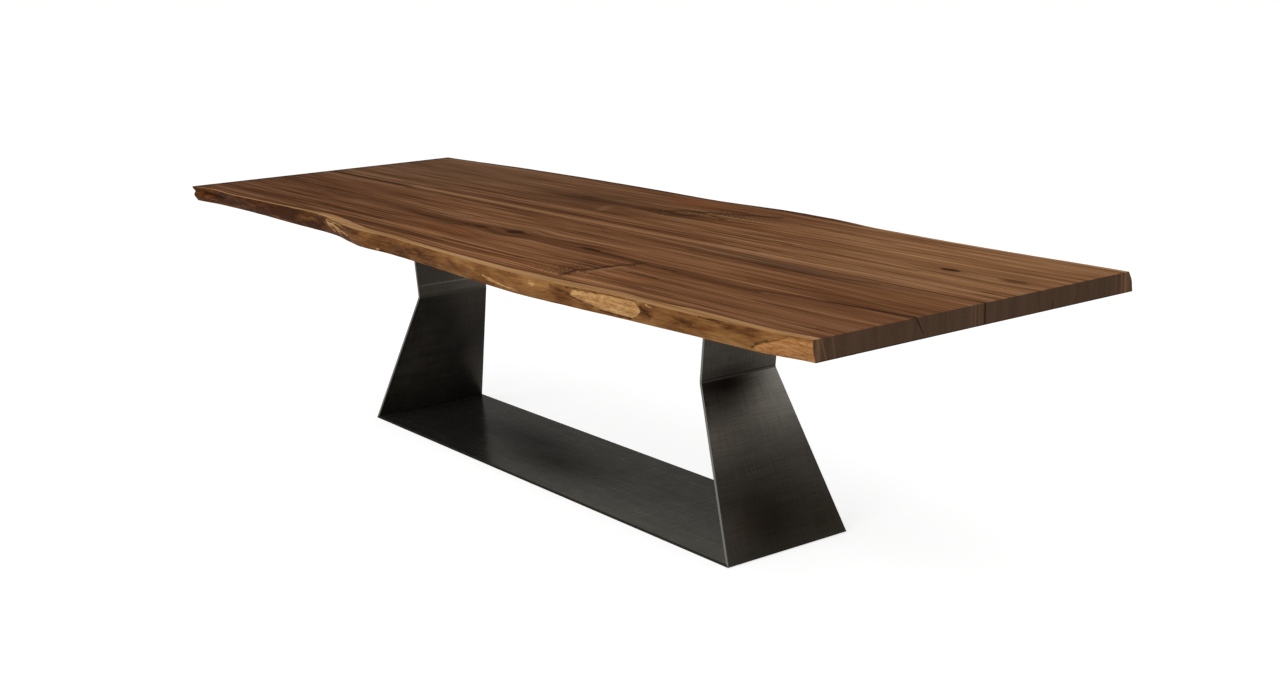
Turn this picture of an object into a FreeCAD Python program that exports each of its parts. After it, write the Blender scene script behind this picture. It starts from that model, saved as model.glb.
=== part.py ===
import FreeCAD
import Part
import math
import os

from FreeCAD import Vector

# Live edge dining table: two wide walnut planks on a base of bent iron plate.
# Millimetres, +Z up, +X along the table, +Y towards the rear edge.
# The origin is on the floor, under the middle of the table.

# Overall sizes of the table and its top
table_height = 750.0
top_length = 3100.0
top_width = 1118.0
top_thickness = 50.0
seam_offset = 6.0
seam_chamfer = 1.0
edge_belly = 4.0

# Live edges: each row is a place along the length, counted from the middle as a share of it,
# and how far the upper and the lower arris reach there, as shares of half the top's width.
front_edge_shares = [
    (-0.500, 0.928, 0.900),
    (-0.470, 0.900, 0.884),
    (-0.420, 0.906, 0.866),
    (-0.370, 0.898, 0.860),
    (-0.310, 0.880, 0.868),
    (-0.250, 0.866, 0.868),
    (-0.205, 0.873, 0.868),
    (-0.165, 0.914, 0.884),
    (-0.105, 0.955, 0.941),
    (-0.060, 0.944, 0.938),
    (0.000, 0.957, 0.948),
    (0.080, 0.982, 0.972),
    (0.165, 0.998, 1.000),
    (0.230, 0.989, 0.987),
    (0.300, 0.952, 0.962),
    (0.350, 0.954, 0.945),
    (0.400, 0.938, 0.932),
    (0.470, 0.913, 0.908),
    (0.500, 0.894, 0.884),
]
rear_edge_shares = [
    (-0.500, 0.887, 0.905),
    (-0.420, 0.907, 0.922),
    (-0.370, 0.928, 0.942),
    (-0.310, 0.943, 0.961),
    (-0.230, 0.954, 0.976),
    (-0.150, 0.955, 0.973),
    (-0.050, 0.945, 0.966),
    (0.015, 0.939, 0.968),
    (0.060, 0.959, 0.986),
    (0.100, 0.971, 1.000),
    (0.150, 0.964, 0.992),
    (0.185, 0.949, 0.976),
    (0.215, 0.922, 0.948),
    (0.270, 0.902, 0.926),
    (0.330, 0.891, 0.916),
    (0.420, 0.894, 0.920),
    (0.500, 0.897, 0.927),
]

# Drying check, a natural crack that opens at the right-hand sawn end of the front plank
check_setback = 208.0
check_length = 115.0
check_drift = 6.0
check_width = 3.0
check_depth = 41.0
check_slant = 32.0

# Loose tenons glued into both planks along the seam
tenon_length = 60.0
tenon_width = 48.0
tenon_thickness = 12.0
tenon_pitch = 280.0
tenon_end_margin = 130.0
tenon_clearance = 0.2

# Steel channels let into the underside across the grain, and their screws
channel_width = 40.0
channel_depth = 14.0
channel_wall = 3.0
channel_edge_margin = 50.0
channel_end_margin = 220.0
channel_side_clearance = 0.5
channel_end_clearance = 6.0
channel_slot_length = 16.0
channel_slot_clearance = 1.0
screw_diameter = 5.0
screw_head_diameter = 10.0
screw_head_height = 3.0
screw_tip_length = 6.0
screw_cover = 12.0
screw_seam_margin = 80.0
screw_end_margin = 50.0
screws_per_half = 3

# Mount plates on the heads of the legs, with bolts into threaded inserts in the planks
mount_plate_length = 700.0
mount_plate_width = 160.0
mount_plate_thickness = 10.0
mount_plate_corner = 12.0
mount_slot_length = 21.0
mount_slot_clearance = 1.0
bolt_diameter = 8.0
bolt_head_across_flats = 13.0
bolt_head_height = 5.3
bolt_tip_gap = 4.0
bolt_seam_margin = 90.0
bolt_end_margin = 60.0
bolt_side_margin = 30.0
washer_diameter = 24.0
washer_thickness = 2.0
washer_clearance = 0.2
insert_diameter = 12.0
insert_length = 20.0
insert_flange_diameter = 17.0
insert_flange_thickness = 1.5
thread_clearance = 0.1

# Base of iron plate: a floor plate and two legs, each bent once at the waist
plate_thickness = 8.0
floor_plate_length = 1830.0
floor_plate_width = 406.0
waist_height = 431.0
waist_span = 1448.0
head_span = 1517.0
neck_width = 252.0
bend_radius = 12.0
flank_radius = 40.0
edge_break = 0.8
foot_weld_size = 4.0
foot_corner_radius = 2.5
head_weld_size = 6.0

# Felt pads under the floor plate
pad_diameter = 40.0
pad_thickness = 2.0
pad_inset = 45.0
pads_along = 5
pads_across = 3

# How far a cutting shape runs past what it cuts
cut_overrun = 5.0

# Heights and places that follow from the sizes above
half_length = top_length / 2
half_width = top_width / 2
underside = table_height - top_thickness
head_height = underside - mount_plate_thickness
channel_ceiling = underside + channel_depth
channel_web = channel_ceiling - channel_wall
tenon_height = (channel_ceiling + table_height) / 2
narrowest_share = min(min(row[1], row[2]) for row in front_edge_shares + rear_edge_shares)
channel_reach = half_width * narrowest_share - channel_edge_margin
channel_places = [channel_end_margin - half_length, 0, half_length - channel_end_margin]
channel_names = ["left_stiffener", "middle_stiffener", "right_stiffener"]
side_names = {-1: "left", 1: "right"}
up = Vector(0, 0, 1)


def save(name, solids):
    """Writes one named piece, or a group of like pieces, and prints its volume."""
    shape = solids[0] if len(solids) == 1 else Part.makeCompound(solids)
    shape.exportStep("parts/" + name + ".step")
    valid = all(solid.isValid() for solid in solids)
    print(name, len(solids), "solids, valid", valid, "volume", round(shape.Volume))


def evenly(first, last, count):
    """Places from first to last, evenly spaced."""
    step = (last - first) / (count - 1)
    return [first + step * i for i in range(count)]


def block(low, high):
    """A box between two opposite corners."""
    return Part.makeBox(high.x - low.x, high.y - low.y, high.z - low.z, low)


def rounded_wire(corners):
    """A closed wire through (point, radius) corners, with a tangent arc where there is a radius."""
    entries = []
    exits = []
    arcs = []
    for i, (point, radius) in enumerate(corners):
        before = (corners[i - 1][0] - point).normalize()
        after = (corners[(i + 1) % len(corners)][0] - point).normalize()
        half_angle = before.getAngle(after) / 2
        reach = radius / math.tan(half_angle)
        entries.append(point + before * reach)
        exits.append(point + after * reach)
        middle = point + (before + after).normalize() * (radius / math.sin(half_angle) - radius)
        arcs.append(Part.Arc(entries[i], middle, exits[i]).toShape() if radius else None)
    edges = []
    for i, arc in enumerate(arcs):
        if arc:
            edges.append(arc)
        edges.append(Part.LineSegment(exits[i], entries[(i + 1) % len(corners)]).toShape())
    return Part.Wire(edges)


def prism(corners, travel):
    """A solid made by moving a flat outline of (point, radius) corners along travel."""
    return Part.Face(rounded_wire(corners)).extrude(travel)


def across(corners, width):
    """A solid of an outline in the XZ plane, centred on the table's centre line, width wide."""
    start = Vector(0, -width / 2, 0)
    return prism([(point + start, radius) for point, radius in corners], Vector(0, width, 0))


def slot(centre, width, length, height):
    """A round-ended slot cutter along Y, standing on its centre."""
    run = (length - width) / 2
    low = Part.makeCylinder(width / 2, height, centre - Vector(0, run, 0), up)
    high = Part.makeCylinder(width / 2, height, centre + Vector(0, run, 0), up)
    corner = centre - Vector(width / 2, run, 0)
    middle = Part.makeBox(width, run * 2, height, corner)
    return low.fuse([middle, high]).removeSplitter()


def turned(profile, foot):
    """A solid of revolution about the upright through foot, from (radius, height) points."""
    points = [foot + Vector(radius, 0, height) for radius, height in profile]
    face = Part.Face(Part.makePolygon(points + points[:1]))
    return face.revolve(foot, up, 360)


# Planks

def edge_curve(shares, side, column, swell, height):
    """The line of a live edge at one height, run straight past both sawn ends."""
    points = []
    for row in shares:
        reach = row[column] if column else (row[1] + row[2]) / 2
        points.append(Vector(row[0] * top_length, side * (reach * half_width + swell), height))
    first = points[0] - Vector(cut_overrun, 0, 0)
    last = points[-1] + Vector(cut_overrun, 0, 0)
    curve = Part.BSplineCurve()
    curve.interpolate([first] + points + [last])
    return curve.toShape(), first, last


def edge_waste(shares, side):
    """The wood outside a live edge, lofted through its lower arris, belly and upper arris."""
    outer = side * (half_width + edge_belly + cut_overrun * 2)
    belly_height = (underside + table_height) / 2
    levels = [(2, 0, underside), (0, edge_belly, belly_height), (1, 0, table_height)]
    wires = []
    for column, swell, height in levels:
        curve, first, last = edge_curve(shares, side, column, swell, height)
        far_last = Vector(last.x, outer, height)
        far_first = Vector(first.x, outer, height)
        run = Part.makePolygon([last, far_last, far_first, first])
        wires.append(Part.Wire([curve] + run.Edges))
    return Part.makeLoft(wires, True, False)


def plank(shares, side, cutters):
    """One plank: a board with a straight seam face, sawn ends and a live edge."""
    outer = half_width + edge_belly + cut_overrun
    low_y, high_y = sorted([seam_offset, side * outer])
    board = block(Vector(-half_length, low_y, underside), Vector(half_length, high_y, table_height))
    chamfers = []
    for height, inward in [(table_height, -1), (underside, 1)]:
        start = Vector(-half_length - cut_overrun, seam_offset, height)
        corners = [start, start + Vector(0, side * seam_chamfer, 0), start + up * (inward * seam_chamfer)]
        travel = Vector(top_length + cut_overrun * 2, 0, 0)
        chamfers.append(prism([(point, 0) for point in corners], travel))
    return board.cut([edge_waste(shares, side)] + chamfers + cutters)


def drying_check():
    """The slanted wedge of air inside the drying check."""
    mouth = Vector(half_length, -check_setback, table_height)
    tip = mouth - Vector(check_length, check_drift, 0)
    half_gap = Vector(0, check_width / 2, 0)
    past = Vector(cut_overrun, 0, 0)
    corners = [tip, mouth - half_gap, mouth - half_gap + past, mouth + half_gap + past, mouth + half_gap]
    return prism([(point, 0) for point in corners], Vector(0, check_slant, -check_depth))


def tenon_places():
    """Middles of the loose tenons, centred along the seam."""
    room = top_length - tenon_end_margin * 2
    count = int(room // tenon_pitch) + 1
    first = -(count - 1) * tenon_pitch / 2
    return [Vector(first + tenon_pitch * i, seam_offset, tenon_height) for i in range(count)]


def tenon(middle, clearance):
    """A loose tenon with round edges, or its mortise when it has a clearance."""
    half_thick = tenon_thickness / 2 + clearance
    half_wide = tenon_width / 2 + clearance
    half_long = tenon_length / 2 + clearance
    run = half_wide - half_thick
    start = middle - Vector(0, half_long, 0)
    left = Vector(-run, 0, 0)
    right = Vector(run, 0, 0)
    rise = Vector(0, 0, half_thick)
    edges = [
        Part.LineSegment(start + left - rise, start + right - rise).toShape(),
        Part.Arc(start + right - rise, start + Vector(half_wide, 0, 0), start + right + rise).toShape(),
        Part.LineSegment(start + right + rise, start + left + rise).toShape(),
        Part.Arc(start + left + rise, start - Vector(half_wide, 0, 0), start + left - rise).toShape(),
    ]
    return Part.Face(Part.Wire(edges)).extrude(Vector(0, half_long * 2, 0))


# Stiffeners

def screw_places(x):
    """Where the screws of the channel at x stand on its web."""
    reaches = evenly(screw_seam_margin, channel_reach - screw_end_margin, screws_per_half)
    return [Vector(x, side * reach, channel_web) for side in (-1, 1) for reach in reaches]


def channel(x):
    """A steel channel, web up, with slots that let the planks swell and shrink."""
    half_wide = channel_width / 2
    low = Vector(x - half_wide, -channel_reach, underside)
    high = Vector(x + half_wide, channel_reach, channel_ceiling)
    hollow_low = Vector(low.x + channel_wall, low.y - cut_overrun, low.z - cut_overrun)
    hollow_high = Vector(high.x - channel_wall, high.y + cut_overrun, channel_web)
    slots = []
    for place in screw_places(x):
        foot = place - up * cut_overrun
        width = screw_diameter + channel_slot_clearance
        slots.append(slot(foot, width, channel_slot_length, channel_wall + cut_overrun * 2))
    return block(low, high).cut([block(hollow_low, hollow_high)] + slots)


def channel_pocket(x):
    """The routed pocket that a channel lies in, open at the underside."""
    half_wide = channel_width / 2 + channel_side_clearance
    reach = channel_reach + channel_end_clearance
    low = Vector(x - half_wide, -reach, underside - cut_overrun)
    high = Vector(x + half_wide, reach, channel_ceiling)
    return block(low, high)


def screw_profile(with_head):
    """Outline of a pan head screw from the web up: shank and point, and the head below if wanted."""
    radius = screw_diameter / 2
    length = table_height - screw_cover - channel_web
    shank = [(radius, 0), (radius, length - screw_tip_length), (0, length)]
    if not with_head:
        return [(0, 0)] + shank
    head = screw_head_diameter / 2
    crown = head - screw_head_height / 2
    foot = -screw_head_height
    return [(0, foot), (crown, foot), (head, foot / 2), (head, 0)] + shank


# Mounts of the legs

def bolt_places(x):
    """Where the bolts pass through the underside of the mount plate at x."""
    off = mount_plate_width / 2 - bolt_side_margin
    reaches = [bolt_seam_margin, mount_plate_length / 2 - bolt_end_margin]
    places = []
    for dx in (-off, off):
        for side in (-1, 1):
            places += [Vector(x + dx, side * reach, head_height) for reach in reaches]
    return places


def mount_plate(x):
    """A flat plate with round corners and slots across the grain."""
    half_wide = mount_plate_width / 2
    half_long = mount_plate_length / 2
    outline = []
    for along, over in [(-1, -1), (1, -1), (1, 1), (-1, 1)]:
        corner = Vector(x + along * half_wide, over * half_long, head_height)
        outline.append((corner, mount_plate_corner))
    plate = prism(outline, up * mount_plate_thickness)
    width = bolt_diameter + mount_slot_clearance
    depth = mount_plate_thickness + cut_overrun * 2
    slots = [slot(place - up * cut_overrun, width, mount_slot_length, depth) for place in bolt_places(x)]
    return plate.cut(slots)


def washer(place):
    """A wide flat washer under the mount plate."""
    hole = bolt_diameter / 2 + washer_clearance
    outer = washer_diameter / 2
    return turned([(hole, -washer_thickness), (outer, -washer_thickness), (outer, 0), (hole, 0)], place)


def bolt(place):
    """A hexagon bolt, its head under the washer and its shank up into the insert."""
    seat = place - up * washer_thickness
    length = washer_thickness + mount_plate_thickness + insert_length - bolt_tip_gap
    corner_radius = bolt_head_across_flats / math.sqrt(3)
    foot = seat - up * bolt_head_height
    turns = [math.radians(60 * i) for i in range(6)]
    points = [foot + Vector(math.cos(turn), math.sin(turn), 0) * corner_radius for turn in turns]
    head = prism([(point, 0) for point in points], up * bolt_head_height)
    return head.fuse(Part.makeCylinder(bolt_diameter / 2, length, seat, up)).removeSplitter()


def insert_profile(bore):
    """Outline of a flanged threaded insert from the underside up, or of its hole when bore is 0."""
    body = insert_diameter / 2
    flange = insert_flange_diameter / 2
    outline = [(bore, 0), (flange, 0), (flange, insert_flange_thickness), (body, insert_flange_thickness)]
    return outline + [(body, insert_length), (bore, insert_length)]


def insert_places(x):
    """Mouths of the threaded inserts, in the underside of the planks."""
    return [place + up * mount_plate_thickness for place in bolt_places(x)]


# Base

def at_height(point, direction, height):
    """Where the line from point along direction reaches a height."""
    return point + direction * ((height - point.z) / direction.z)


def leg_points(side):
    """Corners of one leg's side profile and of the foot mitre, in the XZ plane."""
    foot = Vector(side * floor_plate_length / 2, 0, pad_thickness)
    waist = Vector(side * waist_span / 2, 0, waist_height)
    head = Vector(side * head_span / 2, 0, head_height)
    shin = (waist - foot).normalize()
    neck = (head - waist).normalize()
    shin_in = Vector(-side * shin.z, 0, side * shin.x) * plate_thickness
    neck_in = Vector(-side * neck.z, 0, side * neck.x) * plate_thickness
    mitre = 1 + shin_in.dot(neck_in) / plate_thickness ** 2
    outer_weld = foot + shin * foot_weld_size
    floor_weld = foot - Vector(side * foot_weld_size, 0, 0)
    return {
        "foot": foot,
        "waist": waist,
        "head": head,
        "neck": neck,
        "inner_head": at_height(head + neck_in, neck, head_height),
        "inner_waist": waist + (shin_in + neck_in) * (1 / mitre),
        "inner_foot": at_height(foot + shin_in, shin, pad_thickness + plate_thickness),
        "outer_weld": outer_weld,
        "floor_weld": floor_weld,
        "weld_root": (outer_weld + floor_weld) * 0.5,
    }


def flank_limit(side):
    """Everything between a leg's two flanks: wide at the floor, narrow from the waist up."""
    half_floor = floor_plate_width / 2
    half_neck = neck_width / 2
    outline = [
        (Vector(0, -half_floor, pad_thickness), 0),
        (Vector(0, half_floor, pad_thickness), 0),
        (Vector(0, half_neck, waist_height), flank_radius),
        (Vector(0, half_neck, head_height), 0),
        (Vector(0, -half_neck, head_height), 0),
        (Vector(0, -half_neck, waist_height), flank_radius),
    ]
    return prism(outline, Vector(side * half_length, 0, 0))


def on_flank(edge):
    """True for the rising edges where a broad face of a leg meets one of its flanks."""
    reaches = [vertex.Y for vertex in edge.Vertexes]
    one_side = min(reaches) * max(reaches) > 0
    return one_side and edge.BoundBox.ZLength > plate_thickness


def leg(side, points):
    """One leg: plate bent at the waist, mitred at the foot and cut level at the head."""
    profile = [
        (points["outer_weld"], 0),
        (points["waist"], bend_radius),
        (points["head"], 0),
        (points["inner_head"], 0),
        (points["inner_waist"], bend_radius + plate_thickness),
        (points["inner_foot"], 0),
        (points["weld_root"], 0),
    ]
    plate = across(profile, floor_plate_width).common(flank_limit(side))
    return plate.makeFillet(edge_break, [edge for edge in plate.Edges if on_flank(edge)])


def floor_plate(left, right):
    """The floor plate, mitred at both ends to meet the legs."""
    names = ["floor_weld", "weld_root", "inner_foot"]
    outline = [right[name] for name in names] + [left[name] for name in reversed(names)]
    plate = across([(point, 0) for point in outline], floor_plate_width)
    long_edges = [edge for edge in plate.Edges if edge.BoundBox.XLength > floor_plate_width]
    return plate.makeFillet(edge_break, long_edges)


def foot_weld(side, points):
    """The corner weld along the foot mitre, ground flush and slightly round."""
    corners = [(points["outer_weld"], 0), (points["foot"], foot_corner_radius), (points["floor_weld"], 0)]
    return across(corners, floor_plate_width).common(flank_limit(side))


def head_welds(side, points):
    """A fillet weld on each face of a leg, under its mount plate."""
    along = Vector(side * head_weld_size, 0, 0)
    down = points["neck"] * -head_weld_size
    beads = []
    for root, out in [(points["head"], along), (points["inner_head"], along * -1)]:
        beads.append(across([(root, 0), (root + out, 0), (root + down, 0)], neck_width))
    return beads


def floor_pads():
    """Round felt pads in rows under the floor plate."""
    reach = floor_plate_length / 2 - pad_inset
    spread = floor_plate_width / 2 - pad_inset
    pads = []
    for x in evenly(-reach, reach, pads_along):
        for y in evenly(-spread, spread, pads_across):
            pads.append(Part.makeCylinder(pad_diameter / 2, pad_thickness, Vector(x, y, 0), up))
    return pads


# Assembly

os.makedirs("parts", exist_ok=True)

legs = {side: leg_points(side) for side in side_names}
mount_x = {side: (legs[side]["head"].x + legs[side]["inner_head"].x) / 2 for side in side_names}

mortises = [tenon(middle, tenon_clearance) for middle in tenon_places()]
pockets = [channel_pocket(x) for x in channel_places]
screw_seats = [place for x in channel_places for place in screw_places(x)]
pilot_holes = [turned(screw_profile(False), place) for place in screw_seats]
insert_seats = [place for side in side_names for place in insert_places(mount_x[side])]
insert_holes = [turned(insert_profile(0), place) for place in insert_seats]
shared_cuts = mortises + pockets + pilot_holes + insert_holes

save("front_plank", plank(front_edge_shares, -1, shared_cuts + [drying_check()]).Solids)
save("rear_plank", plank(rear_edge_shares, 1, shared_cuts).Solids)
save("seam_tenons", [tenon(middle, 0) for middle in tenon_places()])

for name, x in zip(channel_names, channel_places):
    save(name, channel(x).Solids)
save("stiffener_screws", [turned(screw_profile(True), place) for place in screw_seats])

for side, name in side_names.items():
    places = bolt_places(mount_x[side])
    bore = bolt_diameter / 2 + thread_clearance
    inserts = [turned(insert_profile(bore), place) for place in insert_places(mount_x[side])]
    save(name + "_threaded_inserts", inserts)
    save(name + "_mount_plate", mount_plate(mount_x[side]).Solids)
    save(name + "_mount_washers", [washer(place) for place in places])
    save(name + "_mount_bolts", [bolt(place) for place in places])
    save(name + "_leg", leg(side, legs[side]).Solids)
    save(name + "_head_welds", head_welds(side, legs[side]))
    save(name + "_foot_weld", foot_weld(side, legs[side]).Solids)

save("floor_plate", floor_plate(legs[-1], legs[1]).Solids)
save("floor_pads", floor_pads())
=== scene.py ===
# %% [markdown]
# # Live edge dining table
# Two wide walnut planks, each with one natural edge, lie on a base of bent and blackened iron plate.
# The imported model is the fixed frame: everything here is in metres and in its axes, with +X along the
# table, +Y to the rear and +Z up. The iron, the fasteners and the felt keep their solids and get a
# finish. The planks are modelled again, because a scraped live edge has more shape than a solid carries.

# %% Load the frame
import math
from bisect import bisect

import bmesh
import bpy
from mathutils import Matrix, Vector, geometry, noise
from mathutils.bvhtree import BVHTree


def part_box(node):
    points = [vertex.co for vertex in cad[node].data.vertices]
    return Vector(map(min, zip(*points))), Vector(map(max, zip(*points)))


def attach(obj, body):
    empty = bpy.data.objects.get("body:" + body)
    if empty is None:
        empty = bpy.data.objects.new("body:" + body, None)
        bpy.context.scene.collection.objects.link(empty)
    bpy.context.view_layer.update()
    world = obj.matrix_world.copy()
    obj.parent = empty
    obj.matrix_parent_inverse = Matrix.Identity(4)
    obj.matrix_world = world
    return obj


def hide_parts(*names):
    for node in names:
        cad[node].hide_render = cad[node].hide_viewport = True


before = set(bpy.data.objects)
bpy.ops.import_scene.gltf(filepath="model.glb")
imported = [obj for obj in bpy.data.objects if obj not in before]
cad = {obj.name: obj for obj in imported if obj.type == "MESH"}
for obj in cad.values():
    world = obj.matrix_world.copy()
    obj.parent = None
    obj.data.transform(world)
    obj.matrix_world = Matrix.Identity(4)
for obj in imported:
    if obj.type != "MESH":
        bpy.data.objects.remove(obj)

scene = bpy.context.scene
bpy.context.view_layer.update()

# %% [markdown]
# ## Camera
# The table was seen from its front right, a little above the top. The place and the lens were found by
# fitting the corners of the top and of the base to their places in the picture, which is 1280 pixels wide.
# A matrix built from the three viewing directions holds the slight roll exactly, so no angles are juggled.

# %% Camera
picture_width = 1280
focal_pixels = 1691.8
camera_place = Vector((3.984, -2.74, 1.547))
camera_heading = math.radians(143.39)
camera_dip = math.radians(13.581)
camera_roll = math.radians(-1.531)

ahead = Vector((math.cos(camera_heading), math.sin(camera_heading), -math.tan(camera_dip))).normalized()
level = ahead.cross(Vector((0, 0, 1))).normalized()
right = Matrix.Rotation(-camera_roll, 3, ahead) @ level
above = right.cross(ahead)
facing = Matrix((right, above, -ahead)).transposed().to_4x4()

camera = bpy.data.objects.new("camera", bpy.data.cameras.new("camera"))
camera.data.lens = focal_pixels * camera.data.sensor_width / picture_width
camera.matrix_world = Matrix.Translation(camera_place) @ facing
scene.collection.objects.link(camera)
scene.camera = camera
scene.view_settings.view_transform = "Standard"
print("lens:", round(camera.data.lens, 2), "mm")

# %% [markdown]
# ## A bench for shader nodes
# Every finish below is a small network of shader nodes. Placing and wiring nodes by hand takes three lines
# each, so this helper places a node, fills its sockets with a value or a wire, and hands the result on.
# Effects that several finishes share are made once, as node groups with named sockets.

# %% Node bench
class Bench:
    """Places shader nodes in one tree and wires them as they are placed."""

    def __init__(self, tree):
        self.tree = tree

    def feed(self, socket, value):
        if isinstance(value, bpy.types.NodeSocket):
            self.tree.links.new(value, socket)
        else:
            socket.default_value = value

    def fill(self, node, sockets):
        for name, value in sockets.items():
            self.feed(node.inputs[name], value)

    def put(self, kind, sockets=None, **settings):
        node = self.tree.nodes.new(kind)
        for name, value in settings.items():
            setattr(node, name, value)
        self.fill(node, sockets or {})
        return node

    def use(self, group, sockets):
        return self.put("ShaderNodeGroup", sockets, node_tree=group).outputs

    def sum(self, operation, first, second=0.0):
        return self.put("ShaderNodeMath", {0: first, 1: second}, operation=operation).outputs[0]

    def plus(self, first, second):
        return self.sum("ADD", first, second)

    def minus(self, first, second):
        return self.sum("SUBTRACT", first, second)

    def times(self, first, second):
        return self.sum("MULTIPLY", first, second)

    def over(self, first, second):
        return self.sum("DIVIDE", first, second)

    def most(self, first, second):
        return self.sum("MAXIMUM", first, second)

    def bell(self, value):
        """1 where a value is 0, with a soft fall on both sides."""
        return self.sum("EXPONENT", self.times(self.times(value, value), -1.0))

    def shaken(self, value, unrest, amount, rest=0.5):
        """A value that is moved up and down by a noise round its rest."""
        return self.plus(value, self.times(self.minus(unrest, rest), amount))

    def vector(self, x, y, z):
        return self.put("ShaderNodeCombineXYZ", {0: x, 1: y, 2: z}).outputs[0]

    def parts(self, vector):
        return self.put("ShaderNodeSeparateXYZ", {0: vector}).outputs

    def vectors(self, operation, first, second):
        node = self.put("ShaderNodeVectorMath", {0: first, 1: second}, operation=operation)
        return node.outputs["Value" if operation in ("DOT_PRODUCT", "DISTANCE") else "Vector"]

    def stretched(self, spot, scales, detail, roughness):
        """Noise that is stretched along each axis by its own scale, in waves per metre."""
        scaled = [self.times(value, scale) for value, scale in zip(spot, scales)]
        sockets = {"Vector": self.vector(*scaled), "Scale": 1.0, "Detail": detail, "Roughness": roughness}
        return self.put("ShaderNodeTexNoise", sockets).outputs["Fac"]

    def ease(self, value, start, end, low=0.0, high=1.0):
        sockets = {"Value": value, "From Min": start, "From Max": end, "To Min": low, "To Max": high}
        return self.put("ShaderNodeMapRange", sockets, interpolation_type="SMOOTHSTEP").outputs[0]

    def blend(self, share, first, second, mode="MIX"):
        sockets = {0: share, 6: first, 7: second}
        return self.put("ShaderNodeMix", sockets, data_type="RGBA", blend_type=mode).outputs[2]

    def tinted(self, share, paint, tint):
        """A colour that takes on a tint by a share."""
        return self.blend(share, paint, self.blend(1.0, paint, tint, "MULTIPLY"))

    def ramp(self, value, stops):
        node = self.put("ShaderNodeValToRGB", {"Fac": value})
        band = node.color_ramp.elements
        while len(band) < len(stops):
            band.new(1.0)
        for stop, (place, colour) in zip(band, stops):
            stop.position = place
            stop.color = colour
        return node.outputs["Color"]

    def mask(self, name):
        """An attribute of the piece, read as a number."""
        return self.put("ShaderNodeAttribute", attribute_name=name).outputs["Fac"]

    def relief(self, height, strength, depth):
        """A normal that rises and falls with a height."""
        sockets = {"Height": height, "Strength": strength, "Distance": depth}
        return self.put("ShaderNodeBump", sockets).outputs[0]

    def looked_at(self):
        """1 where the camera sees a surface directly, mirrored or through glass, else 0."""
        rays = self.put("ShaderNodeLightPath").outputs
        seen = self.most(rays["Is Camera Ray"], rays["Is Glossy Ray"])
        return self.most(seen, rays["Is Transmission Ray"])


print("bench ready")

# %% [markdown]
# A node group starts empty, with its named sockets. A finish starts as a plain material that reads the
# object's own coordinates, so that its pattern stays on the piece. Small and hidden faces share one simple
# recipe: two tones of a colour, mixed by a fine noise that also roughens and lifts the surface.

# %% Groups and finishes
def colour(red, green, blue):
    return (red, green, blue, 1.0)


def grey(tone):
    return colour(tone, tone, tone)


def new_group(name, inputs, outputs):
    """An empty node group with named sockets: its bench, what comes in and what goes out."""
    group = bpy.data.node_groups.new(name, "ShaderNodeTree")
    for label, kind in inputs:
        group.interface.new_socket(label, in_out="INPUT", socket_type="NodeSocket" + kind)
    for label, kind in outputs:
        group.interface.new_socket(label, in_out="OUTPUT", socket_type="NodeSocket" + kind)
    come = group.nodes.new("NodeGroupInput").outputs
    go = group.nodes.new("NodeGroupOutput").inputs
    return group, Bench(group), come, go


def new_finish(name):
    """An empty material: its bench, its main shader and the object coordinates."""
    material = bpy.data.materials.new(name)
    material.use_nodes = True
    bench = Bench(material.node_tree)
    shader = material.node_tree.nodes["Principled BSDF"]
    place = bench.put("ShaderNodeTexCoord")
    return material, bench, shader, place


def mottled(name, dark, light, scale, metallic, roughness, depth):
    """A two-tone finish with a fine grain, for small or hidden faces."""
    material, bench, shader, place = new_finish(name)
    grain = bench.stretched(bench.parts(place.outputs["Object"]), scale, 3.0, 0.6)
    bench.fill(shader, {
        "Base Color": bench.ramp(grain, [(0.3, dark), (0.7, light)]),
        "Metallic": metallic,
        "Roughness": bench.ease(grain, 0.3, 0.7, roughness + 0.1, roughness - 0.1),
        "Normal": bench.relief(grain, 0.3, depth),
    })
    return material


print("groups and finishes ready")

# %% [markdown]
# ## Floor, sky and lamps
# A product picture has a white sweep and large soft lamps. The sky is even and white and gives about half
# of the light. A wide lamp in front and above gives most of the rest, so that the front edge is lit and
# the sawn end falls off. The floor is a plain white board that still takes the table's shadow: where the
# camera, or a reflection, looks at it, some white is added to lift it to the white of the paper.

# %% Floor and light
sky_strength = 0.55
floor_size = 120.0
floor_albedo = 0.55
floor_lift = 0.72
white = grey(1.0)

world = bpy.data.worlds.new("studio")
scene.world = world
world.use_nodes = True
sky = Bench(world.node_tree)
lit = sky.ease(sky.looked_at(), 0.0, 1.0, sky_strength, 1.0)
sky.fill(world.node_tree.nodes["Background"], {"Color": white, "Strength": lit})

floor_paint, bench, shader, _ = new_finish("white_floor")
bench.fill(shader, {
    "Base Color": grey(floor_albedo),
    "Roughness": 0.9,
    "Specular IOR Level": 0.0,
    "Emission Color": white,
    "Emission Strength": bench.times(bench.looked_at(), floor_lift),
})
below = bench.put("ShaderNodeNewGeometry").outputs["Backfacing"]
clear = bench.put("ShaderNodeBsdfTransparent").outputs[0]
two_sided = bench.put("ShaderNodeMixShader", {0: below, 1: shader.outputs[0], 2: clear}).outputs[0]
bench.feed(floor_paint.node_tree.nodes["Material Output"].inputs["Surface"], two_sided)

floor_mesh = bmesh.new()
bmesh.ops.create_grid(floor_mesh, x_segments=1, y_segments=1, size=floor_size / 2)
floor = bpy.data.objects.new("floor", bpy.data.meshes.new("floor"))
floor_mesh.to_mesh(floor.data)
floor_mesh.free()
floor.data.materials.append(floor_paint)
scene.collection.objects.link(floor)


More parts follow.
